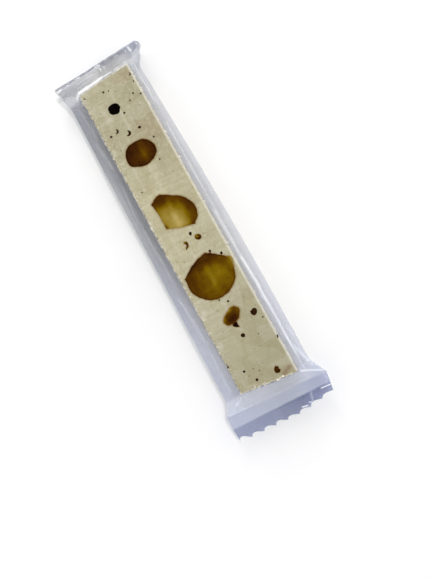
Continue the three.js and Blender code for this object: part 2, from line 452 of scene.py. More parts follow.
NUTS = [
    Nut("nut_small", depth=5.5, base=0.19, rim=-0.12, outline=[
        (-33.5, 2.6), (-30.2, 4.8), (-27, 3.8), (-25.4, 0.8), (-25.3, -2), (-27.4, -5.9), (-31.5, -5.9),
        (-33.9, -3.5), (-34.25, -0.6)
    ], glows=[
        (-29.6, 0.1, 5.5, 0.9, 0.1), (-29.4, 0.2, 3.4, 2.9, 0.13), (-31.8, -4.2, 1.8, 1.6, -0.05)
    ]),
    Nut("nut_half", depth=6, base=0.38, rim=-0.05, kinks=(0, 6, 8), outline=[
        (-12.1, -6.1), (-13.7, -2.6), (-11.8, 1), (-9.1, 4.7), (-4.8, 6.8), (-1.3, 6.1), (1, 3.7),
        (-0.3, -1.1), (-2.1, -5.5), (-7.4, -5.5)
    ], glows=[
        (-3.9, -1.4, 5, 4.1, 0.46), (-5, -0.8, 5, 0.8, 0.12), (-7.6, -4.4, 2.8, 2, 0.2),
        (-0.9, -1, 2, 4.2, 0.2), (-3.2, -5.4, 3.5, 1.4, 0.16), (-12.2, -3, 2.4, 3.4, -0.2),
        (-2.6, 1.4, 3.6, 1.5, 0.09), (-8, 5.6, 5, 1.8, -0.16), (0.4, 4.2, 1.4, 2, -0.1),
        (-2.6, -5.3, 0.7, 0.6, -0.45)
    ]),
    Nut("nut_large", depth=7.5, base=0.42, rim=-0.14, kinks=(8,), outline=[
        (11.9, 2.7), (14.9, 6.5), (16.6, 8), (20.5, 8.15), (24.8, 6), (27.2, 1.2), (26.3, -4.1),
        (21.7, -8.1), (16, -8.2), (12.9, -3.3), (11.7, 0.8)
    ], glows=[
        (20, 0.1, 6.5, 0.9, 0.13), (19.6, 0.8, 4.6, 3.4, 0.11), (19.6, 4.4, 3.6, 2.4, 0.12),
        (17.5, -6.8, 7, 1.8, -0.12), (13.2, -3.4, 2.2, 4.2, -0.22), (13.4, 2.6, 2.4, 3.2, -0.16),
        (18.2, 8.2, 2.8, 0.9, 0.22)
    ]),
    Nut("nut_bit", depth=2.5, base=0.38, rim=0.04, outline=[
        (31.8, 1.5), (33.6, 3), (36.4, 1), (36.8, -2.6), (34.4, -3.5), (32.3, -0.5)
    ], glows=[
        (35, 0.2, 1.7, 1.5, -0.22), (32.2, -0.6, 0.8, 1.5, 0.32), (33.9, -3.2, 1.2, 0.8, 0.26),
        (33.2, 2.2, 1.2, 0.8, 0.06), (35.6, -1.6, 1.1, 1, -0.14)
    ]),
    Nut("nut_stem", depth=1.5, base=0, rim=0, kinks=(2,), slot="pore", outline=[
        (36.9, 0.1), (37.8, 0.1), (38.9, 0.3), (38.2, -0.9), (37.4, -1.5), (36.9, -0.9)
    ], glows=[]),
    Nut("skin_bit_middle", depth=1.2, base=0.38, rim=-0.2, slot="pore", outline=[
        (4.5, 2.2), (5, 3.4), (6, 3.6), (6.5, 2.7), (5.9, 1.7), (5, 1.6)
    ], glows=[
        (5, 2.2, 0.6, 0.6, 0.35), (6.1, 2.9, 0.6, 0.6, -0.2)
    ]),
    Nut("skin_bit_curled", depth=1, base=0.14, rim=0, kinks=(0, 4, 5, 8), slot="pore", outline=[
        (4.8, -2.5), (5.2, -1.7), (6, -1.45), (6.8, -1.9), (7.4, -2.9), (6.9, -2.9), (6.3, -2.3),
        (5.7, -2.4), (5.3, -2.7)
    ], glows=[
        (5.1, -2.4, 0.4, 0.5, 0.45), (6.7, -2.4, 0.5, 0.4, 0.35)
    ]),
    Nut("skin_bit_right", depth=0.8, base=0.8, rim=0, kinks=(0, 4), slot="pore", outline=[
        (15.9, 7.9), (16.5, 8.8), (17.5, 9.1), (18.8, 8.8), (20.6, 8.5), (18.4, 8.38)
    ], glows=[
        (18, 8.1, 2.6, 0.5, -0.3)
    ]),
    Nut("skin_bit_tail", depth=1.2, base=0.16, rim=-0.08, kinks=(0, 2, 4, 6), slot="pore", outline=[
        (55.9, 4.3), (56.3, 5.1), (57, 4.9), (57.6, 5.3), (58.2, 4.5), (57.9, 3.6), (57.2, 3.3), (56.5, 3.5)
    ], glows=[
        (56.9, 4.4, 0.6, 0.5, 0.14)
    ]),
]
RIM_WIDTH = 0.8
NUT_RECESS = 0.005
SOCKET_GAP = 0.01
# How the outlines of nuts and holes wander along X and along Y
WANDER_X = Relief(0.07, (1.8, 1.8), seed=20)
WANDER_Y = Relief(0.07, (1.8, 1.8), seed=21)
# Fineness of the nuts: steps from corner to corner, rings of the face, and of the bowl under it
CURVE_STEPS = 8
FACE_RINGS = 24
BOWL_RINGS = 8
# Angle round its bowl at which a nut's wall leaves its face
WALL_START = 0.1

# Bubbles that the knife has opened in the top: x, y, width
HOLES = [(36.7, 6.7, 2.3), (41.9, -0.1, 1.5), (47.6, 9.95, 1.3), (3.3, 0.8, 1.2), (11.8, 3.7, 1.0),
         (14.2, 6.8, 1.0), (29.5, 1.0, 0.8), (27.7, -1.4, 0.6), (52.5, -5.6, 0.9), (56.8, -3.1, 1.0),
         (39.7, 8.5, 0.6), (-38.0, 3.1, 1.1), (-40.0, -7.1, 0.9), (-32.5, 5.8, 0.7), (-24.6, 3.9, 0.6),
         (-45.2, 0.9, 0.8), (-55.4, -2.1, 0.8), (-54.9, -0.2, 0.5), (-56.6, -9.0, 0.8),
         (-49.8, 6.9, 0.7), (-48.3, 9.1, 0.7), (-48.0, 4.7, 0.6), (-53.5, 9.0, 0.5), (-17.4, -6.9, 0.6),
         (43.9, 4.6, 0.4), (53.0, -2.5, 0.4), (54.6, -1.0, 0.45), (48.3, -9.8, 1.4)]
DEEP_HOLE = [(-50.2, -1.3), (-49.3, 0.4), (-47.6, 0.7), (-46.1, -0.7), (-46.4, -2.7), (-47.8, -3.6),
             (-49.6, -3.1)]
DEEP_HOLE_KINKS = (0, 2, 4)
DEEP_HOLE_DEPTH = 5.0
# How far a cutter stands above the top
CUTTER_RISE = 1.0
BUBBLE_LUMPS = 0.18
BUBBLE_WAVES = 6
BUBBLE_SEED = 8
BUBBLE_FINENESS = 2
# Bubbles half covered by a flap: x, y, width
CRESCENTS = [(-40.7, -4.6, 1.7), (-38.1, -1.3, 2.1), (-56.5, 9.0, 1.1)]
CRESCENT_TURN = 60 * DEGREE
CRESCENT_DEPTH = 0.6
CRESCENT_ARC = 108 * DEGREE
CRESCENT_POINTS = 13
# Half the flap's length along X and Y, and its middle along X, for a bubble of half width 1
FLAP_HALF = (0.55, 0.7)
FLAP_MIDDLE = -0.4
FLAP_POINTS = 9
# Bubbles in the sides: how many, how far from the middle and from the edges, their widths, and the
# power that makes most of them small
SIDE_HOLES = 70
SIDE_HOLE_SEED = 9
SIDE_HOLE_REACH = 58
SIDE_HOLE_MARGIN = 1
SIDE_HOLE_WIDTHS = (0.35, 1.25)
SIDE_HOLE_POWER = 3

# Pale streaks on the top: both ends, width and strength
PALE_STREAKS = [Line(*row) for row in (
    ((-24.4, -0.2), (-14.4, -0.2), 0.95, 0.22),
    ((-36.9, -5.5), (-17.3, -5.7), 0.45, 0.28),
    ((-51, -5.3), (-43.6, -5.2), 0.8, 0.22),
    ((-55, 0.2), (-50.8, 0), 0.4, 0.3),
    ((-46.6, 0), (-39.1, -0.2), 0.45, 0.42),
    ((-45.4, -4.2), (-45.2, -7.8), 0.9, 0.25),
    ((8.5, -1.9), (11.5, -1.6), 0.4, 0.4),
    ((0, -5.6), (9, -5.6), 0.5, 0.25),
    ((29, -0.8), (40, 0.2), 0.6, 0.25),
    ((28.6, -8), (30.6, -8.8), 0.7, 0.5),
    ((41.4, -8.2), (41.8, -9.2), 0.8, 0.5),
    ((-34.8, -8.6), (-33.4, -9.2), 0.6, 0.5),
)]
RED_SCUFF = Line((58.2, 8.2), (59.2, 5.8), 0.75, 1)

# Paler and more toasted areas of the top: middle, half sizes and share
PALE_PATCHES = [
    ((-44.1, 5.3), (3.3, 3.9), 0.16),
    ((44.4, 7.4), (2.3, 2.3), 0.16),
    ((55.9, 6.2), (1.3, 3.4), 0.16),
]
TOASTED_PATCHES = [
    ((-36, 5.9), (4.7, 3.9), 0.55),
    ((-37, -6.4), (3.2, 2), 0.3),
    ((-56.8, 5.6), (2.4, 3.6), 0.6),
    ((-42, -8), (3.2, 1.6), 0.4),
    ((29.6, 5), (3, 4.2), 0.35),
]
PATCH_EDGE = 0.5
PATCH_WANDER_X = Relief(0.5, (5, 5), seed=12)
PATCH_WANDER_Y = Relief(0.5, (5, 5), seed=13)

# Crumbs along each top edge: how many, and how far they are strewn in from the edge. The powers make
# most of them small and bring most of them near to the edge
CRUMB_EDGES = {"left": (300, 0.7), "right": (170, 0.45), "tail": (60, 0.6), "head": (30, 0.4)}
CRUMB_SEED = 11
CRUMB_WIDTHS = (0.3, 1.0)
CRUMB_LUMPS = 0.4
CRUMB_STRETCH = ((0.8, 1.5), (0.7, 1.1), (0.6, 0.9))
SMALL_POWER = 2
NEAR_POWER = 1.5
# How far a crumb may hang over the edge, how deep its middle lies as a share of its width, and how far
# it may have dropped if it lies this near to the edge
CRUMB_OVERHANG = 0.08
CRUMB_SUNK = 0.38
CRUMB_DROP = 0.6
DROP_WITHIN = 0.12
# How far crumbs keep from the corners along X and Y
CORNER_CLEAR = (1.2, 0.9)
# From here to the tail this share of the left edge's crumbs is missing
CLEAN_FROM = 32.0
CLEAN_SHARE = 0.7

# Oil round each nut and each bit of skin: how far it has stained the nougat
STAIN_REACH = {"nut": 0.65, "pore": 0.4}


# --- Small sums ---

def lerp(low, high, share):
    return low + (high - low) * share


def smoothstep(x, low, high):
    share = np.clip((x - low) / (high - low), 0, 1)
    return share * share * (3 - 2 * share)


def bump(x, centre, width):
    """A soft hump of height 1."""
    return np.exp(-((x - centre) / width) ** 2)


def together(parts, measures):
    """The product of the parts' shares at each point."""
    return prod(part.at(measures) for part in parts)


# --- Meshes ---

def add_object(name, data):
    thing = bpy.data.objects.new(name, data)
    bpy.context.scene.collection.objects.link(thing)
    return thing


def new_object(name, points, faces, material):
    """A smooth mesh object from points in millimetres."""
    mesh = bpy.data.meshes.new(name)
    mesh.from_pydata((np.asarray(points) * MM).tolist(), [], faces)
    mesh.materials.append(material)
    mesh.shade_smooth()
    return add_object(name, mesh)


def set_attributes(thing, **fields):
    """Numbers at each point of the mesh, for its material to read."""
    for name, values in fields.items():
        attribute = thing.data.attributes.new(name, "FLOAT", "POINT")
        attribute.data.foreach_set("value", np.asarray(values, dtype=np.float32))


def hold(thing, slot):
    """The piece rides on the only body. The slot is not used."""
    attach(thing, "root")


# --- The film's form ---

def share_across(across):
    return (across + HALF_WIDTH) / FLAT_WIDTH


def wave(across, count):
    return np.cos(2 * pi * count * share_across(across))


def wing_reach(across, along):
    def reach(wing):
        return lerp(wing.head, wing.tail, along) + wing.belly * sin(pi * along)
    return np.where(across < 0, reach(LEFT_WING), reach(RIGHT_WING))


def body_section(across, along, sheet):
    """Y and Z of the film round the bar. Each wing leaves the bar's edge steeply and flattens out."""
    side = np.sign(across)
    share = np.clip((np.abs(across) - TOP_EDGE) / (HALF_WIDTH - TOP_EDGE), 0, 1)
    bend = 2 * share * (1 - share)
    out = bend * WING_WAIST + share ** 2
    level = (1 - share) ** 2 + bend * WING_SAG
    fold_z = WING_HEIGHT + WING_SWAY * np.sin(pi * (2 * SWAYS_ALONG * along + side / 2))
    y = np.where(share > 0, side * (TOP_EDGE + wing_reach(across, along) * out), across)
    return y, lerp(fold_z, sheet.level, level)


def cut_end(end, y):
    """X of the bar's cut end, which leans, and runs on straight past the bar's edges."""
    return end.side * (BAR_END + end.bar_end_lean * np.clip(y, -TOP_EDGE, TOP_EDGE))


def shoulder_start(end, across):
    flare = FLARE_START * smoothstep(np.abs(across), TOP_EDGE, HALF_WIDTH)
    return cut_end(end, across) + end.side * (FILM_GAP - flare)


def fin_root(end, across):
    """X of the line where the fin begins. The right corner of the head's is rounded off."""
    rounded = end.corner_round * smoothstep(across, ROUND_START * HALF_WIDTH, HALF_WIDTH)
    return end.side * (end.root + end.root_lean * across - rounded)


def fin_reach(end, across):
    """Length of the fin from its root to its toothed edge. Each tooth rises slowly and drops steeply."""
    share = share_across(across)
    bow = end.fin_bow * (1 - (across / HALF_WIDTH) ** 2)
    depth = lerp(*TOOTH_DEPTHS, share) * (1 + TOOTH_VARIATION * wave(across, VARIATIONS_ACROSS))
    along_tooth = (TEETH * share) % 1
    valley = depth * np.sin(pi * along_tooth ** TOOTH_SKEW)
    return end.fin_length + end.fin_lean * across + bow - valley


def fin_points(end, across, walked, layer):
    """Points of a layer of the fin, walked to from its root over the fold."""
    fold_start = lerp(end.fold_left, end.fold_right, share_across(across))
    curl = end.corner_curl * smoothstep(across, CURL_START * HALF_WIDTH, HALF_WIDTH)
    step = walked / WALK_STEPS
    out = np.zeros_like(across)
    rise = np.zeros_like(across)
    for i in range(WALK_STEPS):
        turned = smoothstep((i + 0.5) * step, fold_start, fold_start + end.fold_length)
        heading = end.slope - (end.fold_angle - curl) * turned
        out = out + step * np.cos(heading)
        rise = rise + step * np.sin(heading)
    rib_share = np.clip((walked - RIB_SPAN[0]) / (RIB_SPAN[1] - RIB_SPAN[0]), 0, 1)
    rib = RIB_DEPTH * (np.cos(2 * pi * RIBS * rib_share) - 1) / 2
    share = walked / end.fin_length
    lift = layer + rib + FIN_RIPPLE * share * wave(across, RIPPLES_ACROSS)
    x = fin_root(end, across) + end.side * (out - lift * np.sin(heading))
    y = across * lerp(*end.fin_width, share) / FLAT_WIDTH + lerp(*end.fin_shift, share)
    z = end.seal_height + rise + lift * np.cos(heading)
    return np.stack([x, y, z], axis=1)


def body_points(across, along, sheet):
    y, z = body_section(across, along, sheet)
    x = lerp(shoulder_start(HEAD, across), shoulder_start(TAIL, across), along)
    return np.stack([x, y, z], axis=1)


def film_sheet(sheet, across):
    """A layer of film as rows of points, from the head's cut edge to the tail's."""
    lift = np.where(np.abs(across) < HALF_WIDTH, sheet.fin_lift, 0)

    def fin(end, share):
        return fin_points(end, across, share * fin_reach(end, across), lift * (share < 1))

    def shoulder(end, share):
        start = body_points(across, 1.0 if end is TAIL else 0.0, sheet)
        root = fin_points(end, across, 0 * across, lift)
        eased = np.full_like(start, share)
        eased[:, 1] **= lerp(*end.flare_ease, share_across(across))
        return lerp(start, root, eased)

    def past(end):
        rows = [shoulder(end, share) for share in np.linspace(0, 1, SHOULDER_ROWS + 1)[1:]]
        return rows + [fin(end, share) for share in np.linspace(0, 1, FIN_ROWS + 1)[1:]]

    even = np.linspace(0, 1, BODY_ROWS + 1)
    crowded = 0.5 - 0.5 * np.cos(pi * even)
    beside = [body_points(across, along, sheet) for along in lerp(even, crowded, ROW_CROWDING)]
    rows = np.stack(past(HEAD)[::-1] + beside + past(TAIL))
    for _ in range(CREASE_ROUNDING):
        soften(rows[FIN_ROWS:-FIN_ROWS])
        soften(rows.transpose(1, 0, 2))
    return rows


def soften(rows):
    """Draws each inner point of every row halfway towards the mean of its two neighbours."""
    rows[:, 1:-1] = 0.5 * rows[:, 1:-1] + 0.25 * (rows[:, :-2] + rows[:, 2:])


def shut(upper, lower):
    """Points and faces of a closed body from two sheets, which share the upper's border."""
    top = np.arange(upper[..., 0].size).reshape(upper.shape[:2])
    under = top.copy()
    inner = under[1:-1, 1:-1]
    inner[:] = top.size + np.arange(inner.size).reshape(inner.shape)
    points = np.concatenate([upper.reshape(-1, 3), lower[1:-1, 1:-1].reshape(-1, 3)])

    def quads(index):
        corners = [index[:-1, :-1], index[1:, :-1], index[1:, 1:], index[:-1, 1:]]
        return np.stack(corners, axis=-1).reshape(-1, 4)

    faces = np.concatenate([quads(top), quads(under)[:, ::-1]])
    return points, faces.tolist()


def on_line(line, x, y):
    """1 on the line, falling off beside it and past its ends."""
    run_x, run_y = line.end[0] - line.start[0], line.end[1] - line.start[1]
    length = hypot(run_x, run_y)
    x, y = x - line.start[0], y - line.start[1]
    ahead = (x * run_x + y * run_y) / length
    aside = (y * run_x - x * run_y) / length
    past = np.maximum(np.abs(ahead - length / 2) - length / 2, 0)
    return np.exp(-(aside ** 2 + past ** 2) / line.width ** 2)


def ridge_place(x):
    """Y of the right wing's long fold."""
    return TOP_EDGE + lerp(*RIDGE_OUT, BY_TAIL.at({"x": x}))


def crinkles(x, y):
    """Sharp ridges in a net, from 0 to 1, drawn out along the pack."""
    return np.maximum(1 - np.abs(CRINKLES.at(x, y)), 0)


def film_creases(x, y, z, across):
    """Height of the upper sheet's creases and slack waves."""
    past = smoothstep(np.abs(x), *SLACK_PAST)
    slack = SLACK.at(x, y) * np.maximum(smoothstep(np.abs(y) - TOP_EDGE, *SLACK_BESIDE), past)
    ridge = RIDGE_HEIGHT * bump(y, ridge_place(x), RIDGE_WIDTH) * (1 - past)
    by_head = smoothstep(-x, *SLACK_PAST) * (1 - smoothstep(-x, *CRINKLES_END))
    crinkled = CRINKLE_HEIGHT * crinkles(x, y) * by_head
    folds = sum(crease.height * on_line(crease, x, y) for crease in CREASES)
    held = 1 - smoothstep(np.abs(across), HALF_WIDTH - HEM, HALF_WIDTH)
    above_fold = smoothstep(z - HEAD.seal_height, *FOLDED_UNDER)
    unfolded = np.where(past_root(HEAD, x, y) > 0, above_fold, 1)
    return (slack + ridge + crinkled + folds) * held * unfolded


def past_root(end, x, y):
    """How far a point lies outside the root of the end's fin."""
    return end.side * (x - fin_root(end, y))


def film_measures(x, y):
    """How far points lie past the bar's edges, the fins' roots and the flap's edge."""
    tail_fin = past_root(TAIL, x, y)
    return {
        "x": x,
        "y": y,
        "left": -y - TOP_EDGE,
        "right": y - TOP_EDGE,
        "head": cut_end(HEAD, y) - x,
        "tail": x - cut_end(TAIL, y),
        "head_fin": past_root(HEAD, x, y),
        "tail_fin": tail_fin,
        "flap": tail_fin - lerp(*FLAP_EDGE, share_across(y)),
    }


def ridge_highlight(x, y, measures):
    """Painted highlight: the whiteness of the white line along the right wing's long fold."""
    by_tail = BY_TAIL.at(measures)
    line = bump(y, ridge_place(x), lerp(*RIDGE_LINE, by_tail))
    drawn = np.clip(RIDGE_DRAWN + RIDGE_BREAKS.at(x, 0 * y), 0, 1)
    beside = together((IN_RIGHT, NOT_PAST_HEAD, NOT_PAST_TAIL), measures)
    return lerp(*RIDGE_HIGHLIGHT, by_tail) * beside * drawn * line


def film_finish(points):
    """How milk-white, how dark and how lilac the film is at each point, from 0 to 1. The white holds
    painted highlights on creases and folds, and the dark holds painted shade beside the bar and on the
    tail's flap.
    """
    x, y = points[:, 0], points[:, 1]
    measures = film_measures(x, y)
    haze_and_highlight = tint_and_shade = 0
    for zone in ZONES:
        haze_and_highlight = lerp(haze_and_highlight, zone.haze_and_highlight, zone.at(measures))
        tint_and_shade = lerp(tint_and_shade, zone.tint_and_shade, zone.at(measures))
    haze_and_highlight = haze_and_highlight + ridge_highlight(x, y, measures)
    haze_and_highlight = haze_and_highlight + CRINKLE_HAZE * crinkles(x, y) ** 2 * PAST_HEAD.at(measures)
    haze_and_highlight = lerp(haze_and_highlight, ROOT_LINE.haze_and_highlight, ROOT_LINE.at(measures))
    # Each crease's white over the film: a painted highlight
    for crease in CREASES:
        haze_and_highlight = lerp(haze_and_highlight, np.maximum(haze_and_highlight, crease.strength), on_line(crease, x, y))
    lilac = np.max([share * together(fades, measures) for share, fades in LILAC], axis=0)
    return {"haze_and_highlight": haze_and_highlight, "tint_and_shade": tint_and_shade, "lilac": lilac}


def film_columns():
    """Places across the film, with one at each tooth's tip and most of them in the wings."""
    tooth = FLAT_WIDTH / TEETH
    half_middle = 2 * tooth
    middle = np.linspace(-half_middle, half_middle, 4 * MIDDLE_COLUMNS + 1)
    wing = np.linspace(half_middle, HALF_WIDTH, 2 * WING_COLUMNS + 1)[1:]
    return np.concatenate([-wing[::-1], middle, wing])


def film_piece(name, upper, lower, material, strength=1.0):
    """A closed body of film, which helps to stand for the CAD solid."""
    points, faces = shut(upper, lower)
    piece = new_object(name, points, faces, material)
    finish = film_finish(points)
    set_attributes(piece, **{name: values * strength for name, values in finish.items()})
    hold(piece, "clear_film")
    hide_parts("wrapped_bar")


def make_film(material):
    across = film_columns()
    upper = film_sheet(UPPER, across)
    upper[..., 2] += film_creases(*upper.transpose(2, 0, 1), across)
    film_piece("clear_film", upper, film_sheet(LOWER, across), material)


def make_seam(material):
    """The back seam: a flap that lies flat under the pack and runs out through both fins."""
    across = np.linspace(*SEAM_SPAN, SEAM_COLUMNS + 1)
    face, back = film_sheet(SEAM_FACE, across), film_sheet(SEAM_BACK, across)
    film_piece("back_seam", face, back, material, strength=SEAM_FINISH)


# --- The nougat block ---

def unit_block(cells):
    """Points and faces of a cube's surface from 0 to 1, with that many cells along X, Y and Z."""
    quads = []
    for axis in range(3):
        u, v = (axis + 1) % 3, (axis + 2) % 3
        i, j = np.indices((cells[u], cells[v])).reshape(2, -1, 1)
        for level in (0, cells[axis]):
            quad = np.empty((i.size, 4, 3), dtype=int)
            quad[..., axis] = level
            quad[..., u] = i + [0, 1, 1, 0]
            quad[..., v] = j + [0, 0, 1, 1]
            quads.append(quad if level else quad[:, ::-1])
    places, faces = np.unique(np.concatenate(quads).reshape(-1, 3), axis=0, return_inverse=True)
    return places / cells, faces.reshape(-1, 4).tolist()


def block_points(unit):
    """The unit block drawn out to the bar, with rounded edges and knife marks."""
    y = lerp(NOUGAT_LEFT, NOUGAT_RIGHT, unit[:, 1])
    flat = np.ones_like(y)
    low = np.stack([cut_end(HEAD, y), NOUGAT_LEFT * flat, NOUGAT_BOTTOM * flat], axis=1)
    high = np.stack([cut_end(TAIL, y), NOUGAT_RIGHT * flat, NOUGAT_TOP * flat], axis=1)
    outer = lerp(low, high, unit)
    core = np.clip(outer, low + EDGE_RADIUS, high - EDGE_RADIUS)
    outward = outer - core
    outward /= np.linalg.norm(outward, axis=1)[:, None]
    points = core + EDGE_RADIUS * outward
    x, y, z = points.T
    knife = KNIFE_MARKS.at(x + KNIFE_SLANT * y, y) + KNIFE_WAVES.at(x, y)
    torn = 1 + TORN_SHARE * smoothstep(-y, *TORN_BESIDE) * smoothstep(z - NOUGAT_TOP, *TORN_BELOW)
    ragged = SIDE_LUMPS.at(x, z) + torn * SIDE_GRAIN.at(x, z)
    out_x, out_y, out_z = np.abs(outward.T)
    relief = out_z * knife + out_y * ragged + out_x * END_LUMPS.at(y, z)
    return points + outward * relief[:, None]


def openings(brown_and_shaded_wall, shaded_hole_wall):
    """Bodies to cut out of the bar, each with the material of its wall."""
    for nut in NUTS:
        outline = closed_curve(nut.outline, nut.kinks)
        yield plug(outline, nut.depth, rise=CUTTER_RISE, grow=SOCKET_GAP), brown_and_shaded_wall
    for x, y, width in HOLES:
        yield bubble((x, y, NOUGAT_TOP), width), brown_and_shaded_wall
    for x, y, width in CRESCENTS:
        yield plug(crescent(x, y, width), CRESCENT_DEPTH, rise=CUTTER_RISE), brown_and_shaded_wall
    yield plug(closed_curve(DEEP_HOLE, DEEP_HOLE_KINKS), DEEP_HOLE_DEPTH, rise=CUTTER_RISE), shaded_hole_wall
    for place, width in side_holes():
        yield bubble(place, width), brown_and_shaded_wall


def carve(thing, cuts):
    """Cuts bodies out of a mesh object. Their walls bring their own material along."""
    cutters = bpy.data.collections.new("cutters")
    for (points, faces), wall in cuts:
        cutter = new_object("cutter", points, faces, wall)
        cutters.objects.link(cutter)
    cut = thing.modifiers.new("cut", "BOOLEAN")
    cut.operation = "DIFFERENCE"
    cut.solver = "MANIFOLD"
    cut.operand_type = "COLLECTION"
    cut.collection = cutters
    cut.material_mode = "TRANSFER"
    shape = bpy.data.meshes.new_from_object(thing.evaluated_get(bpy.context.evaluated_depsgraph_get()))
    thing.modifiers.remove(cut)
    thing.data = shape
    for cutter in list(cutters.objects):
        bpy.data.objects.remove(cutter)
    bpy.data.collections.remove(cutters)


def make_nougat(material, brown_and_shaded_wall, shaded_hole_wall):
    points, faces = unit_block(BLOCK_CELLS)
    nougat = new_object("nougat", block_points(points), faces, material)
    carve(nougat, openings(brown_and_shaded_wall, shaded_hole_wall))
    nougat.data.set_sharp_from_angle(angle=SHARP_ANGLE)
    points = np.array([v.co[:] for v in nougat.data.vertices]) / MM
    x, y = points[:, 0], points[:, 1]
    streaks = sum(streak.strength * on_line(streak, x, y) for streak in PALE_STREAKS)
    pale = streaks + patchwork(PALE_PATCHES, x, y)
    toasted = patchwork(TOASTED_PATCHES, x, y)
    scuff = on_line(RED_SCUFF, x, y)
    set_attributes(nougat, pale=pale, toasted=toasted, scuff=scuff, stain=nut_stain(x, y))
    hold(nougat, "nougat")


def patchwork(patches, x, y):
    """The share of the patches at each point. Their edges wander a little."""
    x = x + PATCH_WANDER_X.at(x, y)
    y = y + PATCH_WANDER_Y.at(x, y)
    total = np.zeros_like(x)
    for (middle_x, middle_y), (half_x, half_y), share in patches:
        past = np.maximum(np.abs(x - middle_x) - half_x, np.abs(y - middle_y) - half_y)
        total += share * (1 - smoothstep(past, -PATCH_EDGE / 2, PATCH_EDGE / 2))
    return total


def nut_stain(x, y):
    """Oil of the nuts in the nougat, from 1 at their outlines down to 0."""
    stain = np.zeros_like(x)
    for nut in NUTS:
        outline = closed_curve(nut.outline, nut.kinks)
        reach = STAIN_REACH[nut.slot]
        low, high = outline.min(axis=0) - reach, outline.max(axis=0) + reach
        near = (x > low[0]) & (x < high[0]) & (y > low[1]) & (y < high[1])
        gap = distance_to(outline, np.stack([x[near], y[near]], axis=1))
        stain[near] = np.maximum(stain[near], 1 - smoothstep(gap, 0, reach))
    return stain


def bubble(place, width, lumps=BUBBLE_LUMPS, stretch=(1, 1, 1)):
    """A lumpy ball: a cutter or a crumb."""
    work = bmesh.new()
    bmesh.ops.create_icosphere(work, subdivisions=BUBBLE_FINENESS, radius=width / 2)
    ball = np.array([v.co[:] for v in work.verts])
    faces = [[v.index for v in f.verts] for f in work.faces]
    work.free()
    x, y, z = ball.T
    relief = Relief(lumps, (width, width), BUBBLE_SEED, BUBBLE_WAVES)
    swell = 1 + relief.at(x + place[0], y + z + place[1])
    return ball * swell[:, None] * stretch + place, faces


def crescent(x, y, width):
    """The outline of a bubble half covered by a flap."""
    flap_x, flap_y = FLAP_HALF
    outer = [(cos(a), sin(a)) for a in np.linspace(-CRESCENT_ARC, CRESCENT_ARC, CRESCENT_POINTS)]
    inner = [(flap_x * cos(a) + FLAP_MIDDLE, flap_y * sin(a))
             for a in np.linspace(pi / 2, -pi / 2, FLAP_POINTS)]
    turn_x, turn_y = cos(CRESCENT_TURN), sin(CRESCENT_TURN)
    turned = np.array(outer + inner) @ [[turn_x, turn_y], [-turn_y, turn_x]]
    return anticlockwise(turned * width / 2 + (x, y))


def side_holes():
    """Places and widths of bubbles in the bar's two long sides."""
    draw = np.random.default_rng(SIDE_HOLE_SEED)
    for _ in range(SIDE_HOLES):
        x = draw.uniform(-SIDE_HOLE_REACH, SIDE_HOLE_REACH)
        z = draw.uniform(NOUGAT_BOTTOM + SIDE_HOLE_MARGIN, NOUGAT_TOP - SIDE_HOLE_MARGIN)
        y = NOUGAT_LEFT if draw.random() < 0.5 else NOUGAT_RIGHT
        yield (x, y, z), lerp(*SIDE_HOLE_WIDTHS, draw.random() ** SIDE_HOLE_POWER)


def crumb_places():
    """Places, widths and stretches of crumbs strewn along the top edges."""
    draw = np.random.default_rng(CRUMB_SEED)
    half_length = BAR_END - CORNER_CLEAR[0]
    for edge, (count, strewn) in CRUMB_EDGES.items():
        for _ in range(count):
            inward = strewn * draw.random() ** NEAR_POWER - CRUMB_OVERHANG
            share = draw.random()
            x = lerp(-half_length, half_length, share)
            y = lerp(NOUGAT_LEFT + CORNER_CLEAR[1], NOUGAT_RIGHT - CORNER_CLEAR[1], share)
            if edge == "left":
                y = NOUGAT_LEFT + inward
            elif edge == "right":
                y = NOUGAT_RIGHT - inward
            elif edge == "tail":
                x = cut_end(TAIL, y) - inward
            else:
                x = cut_end(HEAD, y) + inward
            width = lerp(*CRUMB_WIDTHS, draw.random() ** SMALL_POWER)
            dropped = CRUMB_DROP * draw.random() * (inward < DROP_WITHIN)
            stretch = [draw.uniform(*limits) for limits in CRUMB_STRETCH]
            skipped = edge == "left" and x > CLEAN_FROM and draw.random() < CLEAN_SHARE
            if not skipped:
                yield (x, y, NOUGAT_TOP - CRUMB_SUNK * width - dropped), width, stretch


def make_crumbs(material):
    """The crumbs as one mesh."""
    points, faces = [], []
    for place, width, stretch in crumb_places():
        crumb, corners = bubble(place, width, CRUMB_LUMPS, stretch)
        first = len(points) * len(crumb)
        points.append(crumb)
        faces += [[first + corner for corner in face] for face in corners]
    crumbs = new_object("crumbs", np.concatenate(points), faces, material)
    hold(crumbs, "nougat")


# --- Nuts ---

def closed_curve(corners, kinks=()):
    """An anticlockwise outline that wanders through the corners, smooth but for kinks at those named."""
    corners = np.array(corners)
    count = len(corners)
    outline = []
    for i in range(count):
        start, end = corners[i], corners[(i + 1) % count]
        before, after = corners[i - 1], corners[(i + 2) % count]
        leave = end - start if i in kinks else (end - before) / 2
        arrive = end - start if (i + 1) % count in kinks else (after - start) / 2
        for t in np.arange(CURVE_STEPS) / CURVE_STEPS:
            outline.append(
                (2 * t ** 3 - 3 * t ** 2 + 1) * start + (t ** 3 - 2 * t ** 2 + t) * leave
                + (3 * t ** 2 - 2 * t ** 3) * end + (t ** 3 - t ** 2) * arrive
            )
    x, y = np.array(outline).T
    x = x + WANDER_X.at(x, y)
    y = y + WANDER_Y.at(x, y)
    return anticlockwise(np.stack([x, y], axis=1))


def anticlockwise(outline):
    x, y = outline.T
    area = (x * np.roll(y, -1) - y * np.roll(x, -1)).sum()
    return outline if area > 0 else outline[::-1]


